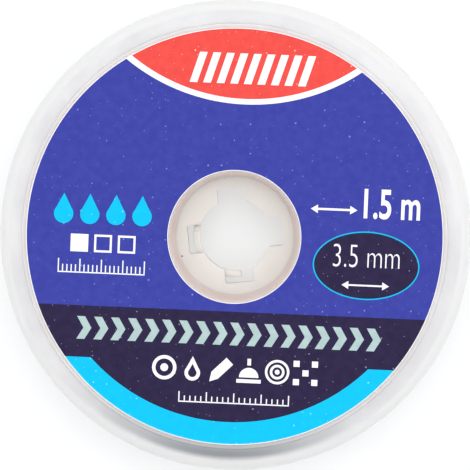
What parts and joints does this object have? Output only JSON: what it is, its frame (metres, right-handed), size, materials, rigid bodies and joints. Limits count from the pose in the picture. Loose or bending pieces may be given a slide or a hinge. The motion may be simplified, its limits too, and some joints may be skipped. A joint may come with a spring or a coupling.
{
  "type": "desoldering braid spool",
  "caption": "Flat copper desoldering braid wound in a round translucent plastic spool with a keyed hub, a rim slot and a printed label.",
  "frame": {"origin": "on the spool's axis, in the plane of the back disc's face, which lies on the floor", "axes": "+Z along the spool's axis and out of the labelled face, +Y towards the top of the label"},
  "size_m": [0.056, 0.056, 0.0079],
  "materials": {
    "shell_plastic": "natural translucent polypropylene, satin",
    "copper_braid": "bare copper strands, braided flat and fluxed",
    "label_paper": "coated paper, printed in colours"
  },
  "bodies": {
    "root": {"front_shell": "shell_plastic", "back_shell": "shell_plastic", "braid_roll": "copper_braid", "label": "label_paper"}
  },
  "joints": []
}
